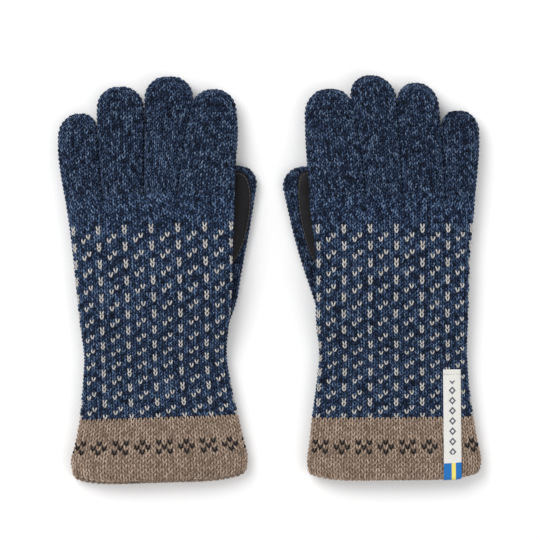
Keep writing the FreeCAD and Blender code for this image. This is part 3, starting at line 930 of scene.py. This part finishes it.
def seam(name, glove, line, normals, closed, finish, settings):
    count = len(line)
    edges = [(i, (i + 1) % count) for i in range(count if closed else count - 1)]
    mesh = placedMesh(name, glove, line, edges)
    storeVectors(mesh, "outward", turned(glove, normals))
    obj = newObject(name, mesh)
    runTree(obj, sewnSeam, {**settings, "Material": finish})
    return baked(obj, name)


bendReach = 0.011  # a reach on each side of a joint, in metres


def finishDigit(glove, digit, joint, along, knitted, patch, threads):  # hides the digit's CAD parts and bakes each piece's placing into its mesh
    place = next(j for j in frame["record"]["behaviour"]["joints"] if j["name"] == joint)["pos_m"]
    step = turned(glove, np.array([along[0], along[1], 0.0])) * bendReach
    start, end = tuple(np.array(place) - step), tuple(np.array(place) + step)
    name = glove + "_" + digit
    tube = name if digit == "thumb" else name + "_finger"
    for piece, node, slot in ((knitted, tube, "marl_knit"), (patch, name + "_leather", "leather"),
                              (threads, name + "_thread", "thread")):
        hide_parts(node)
        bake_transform(piece)
    print(glove, digit + ":", faceCount(knitted, patch, threads), "faces")


def digitKnit(glove, digit, ringAt, starts, length, last, shape, keep, seed):
    top = last + dome["stretch"] * (length - last)
    name = glove + "_" + digit + "Knit"
    steps = list(np.linspace(starts, last, 26)) + list(np.linspace(last, top - 0.4, 12))[1:]
    outer = [ringAt(t, -knit["groundSink"], 72) for t in steps]
    inner = [ringAt(t, -shape["wall"] - 0.4, 72) for t in steps]
    ground = doubleWall(name, glove, outer, inner, blueGround, cap=True)
    wales = round(girthOf(ringAt(last, 0.0, 72)) / shape["waleWidth"])
    rows = [(t, shape["rowHeight"]) for t in np.arange(starts + 1.2, top - 0.8, shape["rowHeight"])]
    charted = chart(lambda t: ringAt(t, -0.5, 144), rows, wales, 0.3 * math.sin(seed), keep=keep)
    yarn = stitched(name + "Yarn", glove, charted, fingerYarn, seed)
    skin = [ringAt(t, 0.0, 60) for t in steps if t > starts + 2]
    fuzz = fuzzed(name + "Fuzz", glove, skin, fingerYarn, seed + 1)
    return joinedInto(name, [ground, yarn, fuzz])


fingerPatch = {"from": 196.5, "short": 5.5, "width": 0.60, "bareWidth": 0.56}


def makeFinger(glove, finger, seed):
    shape, share = fingerShape, fingerPatch["width"]
    ringAt = partial(fingerRing, glove, finger)
    rows = shape["rows"][glove][finger]
    tipU, tipV, tipZ = shape["tips"][glove][finger]
    lastRow = rows[-1][0]
    first, last = fingerPatch["from"], tipV - fingerPatch["short"]

    def surface(a, b):  # the underside
        a, b = np.broadcast_arrays(np.asarray(a, float), np.asarray(b, float))
        v = first + (last - first) * (b + 1) / 2
        out = np.zeros(a.shape + (3,))
        for i in np.ndindex(a.shape):
            outer, inner = through(rows, min(v[i], lastRow))
            gone = min(max(v[i] - lastRow, 0) / (tipV - lastRow), 0.999)
            scale = patchScale(gone)
            centre = (outer + inner) / 2
            centre += (tipU - centre) * gone
            level, slope = fingerLevel(centre, v[i], tipZ)
            x = share * a[i] * (inner - outer) / 2 * scale
            side = (1 - abs(share * a[i]) ** shape["power"]) ** (1 / shape["power"])
            out[i] = centre + x, v[i], level + slope * x - shape["halfThick"][finger] * scale * side
        return out

    def keep(here, out):
        v = here[:, 1]
        centre = surface(np.zeros(1), np.clip(2 * (v[:1] - first) / (last - first) - 1, -1, 1))[0, 0]
        width = (rows[-1][2] - rows[-1][1]) / 2 * fingerPatch["bareWidth"]
        inPatch = (np.abs(here[:, 0] - centre) < width) & (v > first + 1) & (v < last - 1)
        return ~(inPatch & (out[:, 2] < -0.2))

    knitted = digitKnit(glove, finger, ringAt, shape["starts"], tipV, lastRow, shape, keep, seed)
    patch, threads = sewnPatch(glove + "_" + finger + "Leather", glove, surface, -1)
    along = np.array([tipU - (rows[0][1] + rows[0][2]) / 2, tipV - rows[0][0]])
    along = along / np.linalg.norm(along)
    finishDigit(glove, finger, glove + "_" + finger + "_curl", along, knitted, patch, threads)


thumbPatch = {  # the leather's edge on the outer side: distance past the root, across
    "left": {"outer": [(19, 6.2), (30, 8.6), (46, 10.5), (60, 10.2), (73, 8.6), (84, 6.0)], "inner": -9.8},
    "right": {"outer": [(19, 6.6), (36, 7.5), (52, 7.3), (64, 6.2), (74, 4.6), (86, 2.5)], "inner": -10.4},
    "from": 19.5,
    "short": 3.6,
    "corner": 3.6,
    "steepest": 0.985,
}


def makeThumb(glove, seed):
    shape = thumbShape
    ringAt = partial(thumbRing, glove)
    root, along, across, length = thumbAxis(glove)
    rows = shape["rows"][glove]
    lastRow = rows[-1][0]
    edge, innerEdge = thumbPatch[glove]["outer"], thumbPatch[glove]["inner"]
    first, last = thumbPatch["from"], length - thumbPatch["short"]

    def surface(a, b):  # the pad, on the upper side as the thumb lies
        a, b = np.broadcast_arrays(np.asarray(a, float), np.asarray(b, float))
        s = first + (last - first) * (b + 1) / 2
        x = innerEdge + (through(edge, s)[..., 0] - innerEdge) * (a + 1) / 2
        out = np.zeros(a.shape + (3,))
        for i in np.ndindex(a.shape):
            shift, level, halfWidth, halfThick = through(rows, min(s[i], lastRow))
            scale = patchScale(max(s[i] - lastRow, 0) / (length - lastRow))
            side = min(abs(x[i]) / (halfWidth * scale), thumbPatch["steepest"])
            z = level + halfThick * scale * (1 - side ** shape["power"]) ** (1 / shape["power"])
            flat = root + along * s[i] + across * (shift + x[i])
            out[i] = flat[0], flat[1], z
        return out

    def keep(here, out):
        flat = here[:, :2] - root
        s, x = flat @ along, flat @ across
        covered = (out[:, 2] > 0.1) & (x < through(edge, s)[..., 0] - 1.2) & (x > innerEdge + 1)
        covered = covered & (s > first + 1) & (s < last - 1)
        middle, halfThick = handHalf(glove, here[:, 0], here[:, 1])
        inside = (s < 30) & (np.abs(here[:, 2] - middle) < halfThick - 1.0)
        return ~covered & ~inside

    knitted = digitKnit(glove, "thumb", ringAt, rows[0][0], length, lastRow, shape, keep, seed)
    leather, threads = sewnPatch(glove + "_thumbLeather", glove, surface, 1, thumbPatch["corner"])
    finishDigit(glove, "thumb", glove + "_thumb_open", along, knitted, leather, threads)


def makePalm(glove):
    (centreU, centreV), (halfU, halfV) = palmPatch["centre"], palmPatch["half"]

    def surface(a, b):
        u, v = centreU + halfU * a, centreV + halfV * b
        middle, halfThick = handHalf(glove, u, v)
        return np.stack([u, v, middle - halfThick], -1)

    leather, threads = sewnPatch(glove + "_palmLeather", glove, surface, -1, palmPatch["corner"],
                                 palmPatch["thick"], palmPatch["lift"], 128)
    for piece, node, slot in ((leather, "_palm_leather", "leather"), (threads, "_palm_thread", "thread")):
        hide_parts(glove + node)
        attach(piece, glove + "_glove")
    print(glove, "palm leather:", faceCount(leather, threads), "faces")


elasticBandShape = {"from": 70.0, "to": 82.0, "ribs": 6, "ribDepth": 0.15, "sunk": 2.9, "thick": 0.7}


def makeElastic(glove):
    band = elasticBandShape
    levels = np.linspace(band["from"], band["to"], band["ribs"] * 6 + 1)
    turns = (levels - band["from"]) / (band["to"] - band["from"]) * band["ribs"]
    outer = [handRing(glove, v, -band["sunk"], 120) for v in levels]
    inner = [handRing(glove, v, -band["sunk"] - band["thick"] - r, 120)
             for v, r in zip(levels, band["ribDepth"] * np.cos(turns * 2 * math.pi))]
    piece = doubleWall(glove + "_wristElastic", glove, outer, inner, elasticBand)
    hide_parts(glove + "_wrist_elastic")
    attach(piece, glove + "_glove")
    print(glove, "elastic:", faceCount(piece), "faces")


labelShape = {"u": (-42.4, -31.2), "top": 67.6, "thick": 0.5, "lift": 0.35, "inside": 5.0, "stitchedAt": 64.4}
labelSeam = {"Spacing": 0.0019, "Stitch Length": 0.0016, "Thread Radius": 0.00017}


def labelSpot(u, t, height):  # t runs down from the label's top, round the hem and up inside the cuff
    glove, r = "right", cuffShape["roll"]
    down = labelShape["top"] - r
    v = np.clip(labelShape["top"] - t, 0, None)
    flat = np.maximum(v, r)
    middle, halfThick = handHalf(glove, u, flat)
    angle = np.clip((t - down) / r, 0, math.pi)
    beyond = np.maximum(t - down - math.pi * r, 0)
    away = r + height
    z = middle + halfThick - r + away * np.cos(angle)
    place = np.where(t <= down, v, r - away * np.sin(angle) + beyond)
    onBack = np.stack([u.ravel(), place.ravel(), np.full(u.size, 30.0)], -1)  # the hem's shift on the back
    shift = hemShift(glove, onBack, np.maximum(place, 0).ravel()).reshape(place.shape)
    return np.stack([u, place + shift, z], -1)


def makeLabel():
    shape = labelShape
    low, high = shape["u"]
    length = shape["top"] - cuffShape["roll"] + math.pi * cuffShape["roll"] + shape["inside"]
    across = np.linspace(high, low, 15)
    straight = np.linspace(0, shape["top"] - 2, 60)
    downs = np.concatenate([straight, np.linspace(shape["top"] - 1.6, length, 22)])
    u, t = np.meshgrid(across, downs)
    ripple = 0.22 * np.sin(t * 0.19 + 0.6) * np.sin((u - low) * 0.5) + 0.35 * np.exp(-(t / 2.2) ** 2)
    tuck = -0.35 * np.exp(-((t - (shape["top"] - shape["stitchedAt"])) / 0.6) ** 2)
    upper = labelSpot(u, t, shape["lift"] + shape["thick"] + ripple + tuck)
    under = labelSpot(u, t, shape["lift"] * 0.2 + ripple * 0.9 + tuck)
    rows, columns = u.shape
    points = np.concatenate([upper.reshape(-1, 3), under.reshape(-1, 3)])
    maps = np.stack([(high - u) / 100, (shape["top"] - t) / 100], -1).reshape(-1, 2)
    maps = np.concatenate([maps, maps])
    back = rows * columns
    faces = []
    for r in range(rows - 1):
        for c in range(columns - 1):
            a, b = r * columns + c, r * columns + c + 1
            faces.append((a, a + columns, b + columns, b))
            faces.append((back + a, back + b, back + b + columns, back + a + columns))
    border = (list(range(columns)) + [r * columns + columns - 1 for r in range(1, rows)]
              + [(rows - 1) * columns + c for c in range(columns - 2, -1, -1)]
              + [r * columns for r in range(rows - 2, 0, -1)])
    for a, b in zip(border, border[1:] + border[:1]):
        faces.append((a, b, back + b, back + a))
    mesh = placedMesh("label", "right", points, faces=faces)
    layer = mesh.uv_layers.new(name="cloth")
    corners = np.zeros(len(mesh.loops), dtype=np.int32)
    mesh.loops.foreach_get("vertex_index", corners)
    layer.data.foreach_set("uv", maps[corners].astype(np.float32).ravel())
    mesh.materials.append(labelCloth)
    label = newObject("label", mesh)
    seamAt, seamHeight = shape["top"] - shape["stitchedAt"], shape["lift"] + shape["thick"] - 0.2
    seamAcross = np.linspace(high - 0.6, low + 0.6, 12)
    stitchLine = labelSpot(seamAcross, np.full(12, seamAt), np.full(12, seamHeight))
    threads = seam("labelStitches", "right", stitchLine, np.tile([0.0, 0.0, 1.0], (12, 1)), False, paleThread,
                   labelSeam)
    for piece, node, slot in ((label, "label", "label_weave"), (threads, "label_thread", "thread")):
        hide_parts(node)
        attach(piece, "right_glove")
    print("label:", faceCount(label, threads), "faces")


for gloveName in gloves:
    makeHand(gloveName)
    makeCuff(gloveName)
    for number, fingerName in enumerate(("index", "middle", "ring", "little")):
        makeFinger(gloveName, fingerName, gloves[gloveName]["seed"] + 10 * number + 10)
    makeThumb(gloveName, gloves[gloveName]["seed"] + 60)
    makePalm(gloveName)
    makeElastic(gloveName)
makeLabel()


stage = {
    "floor": 0.94, "floorHalf": 3, "floorHeight": -0.0005, "world": 0.62, "lens": 200,
    "camera": (-0.00064, 0.00462, 1.90),
    "lights": (("keyLight", (-0.75, 0.85, 1.5), 1.2, 22.0), ("fillLight", (0.9, -0.5, 1.4), 1.4, 7.0)),
}


def makeStage():
    floorFinish, _, shader = material("paleFloor", specular=0.1)
    shader["Base Color"].default_value = (stage["floor"],) * 3 + (1,)
    shader["Roughness"].default_value = 0.9
    mesh = bpy.data.meshes.new("floor")
    half, height = stage["floorHalf"], stage["floorHeight"]
    mesh.from_pydata([(x * half, y * half, height) for x, y in ((-1, -1), (1, -1), (1, 1), (-1, 1))], [],
                     [(0, 1, 2, 3)])
    mesh.materials.append(floorFinish)
    newObject("floor", mesh)
    scene = bpy.context.scene
    scene.world = bpy.data.worlds.new("studio")
    scene.world.use_nodes = True
    sky = scene.world.node_tree.nodes["Background"].inputs
    sky["Color"].default_value = (1, 1, 1, 1)
    sky["Strength"].default_value = stage["world"]
    for label, place, size, power in stage["lights"]:
        data = bpy.data.lights.new(label, "AREA")
        data.size, data.energy = size, power
        light = newObject(label, data)
        light.location = place
        light.rotation_euler = (-Vector(place)).to_track_quat("-Z", "Y").to_euler()
    data = bpy.data.cameras.new("camera")
    data.lens, data.sensor_width = stage["lens"], 36
    camera = newObject("camera", data)
    camera.location = stage["camera"]
    scene.camera = camera
    scene.view_settings.view_transform = "Standard"
    print("stage: floor, two lights and the camera")


makeStage()
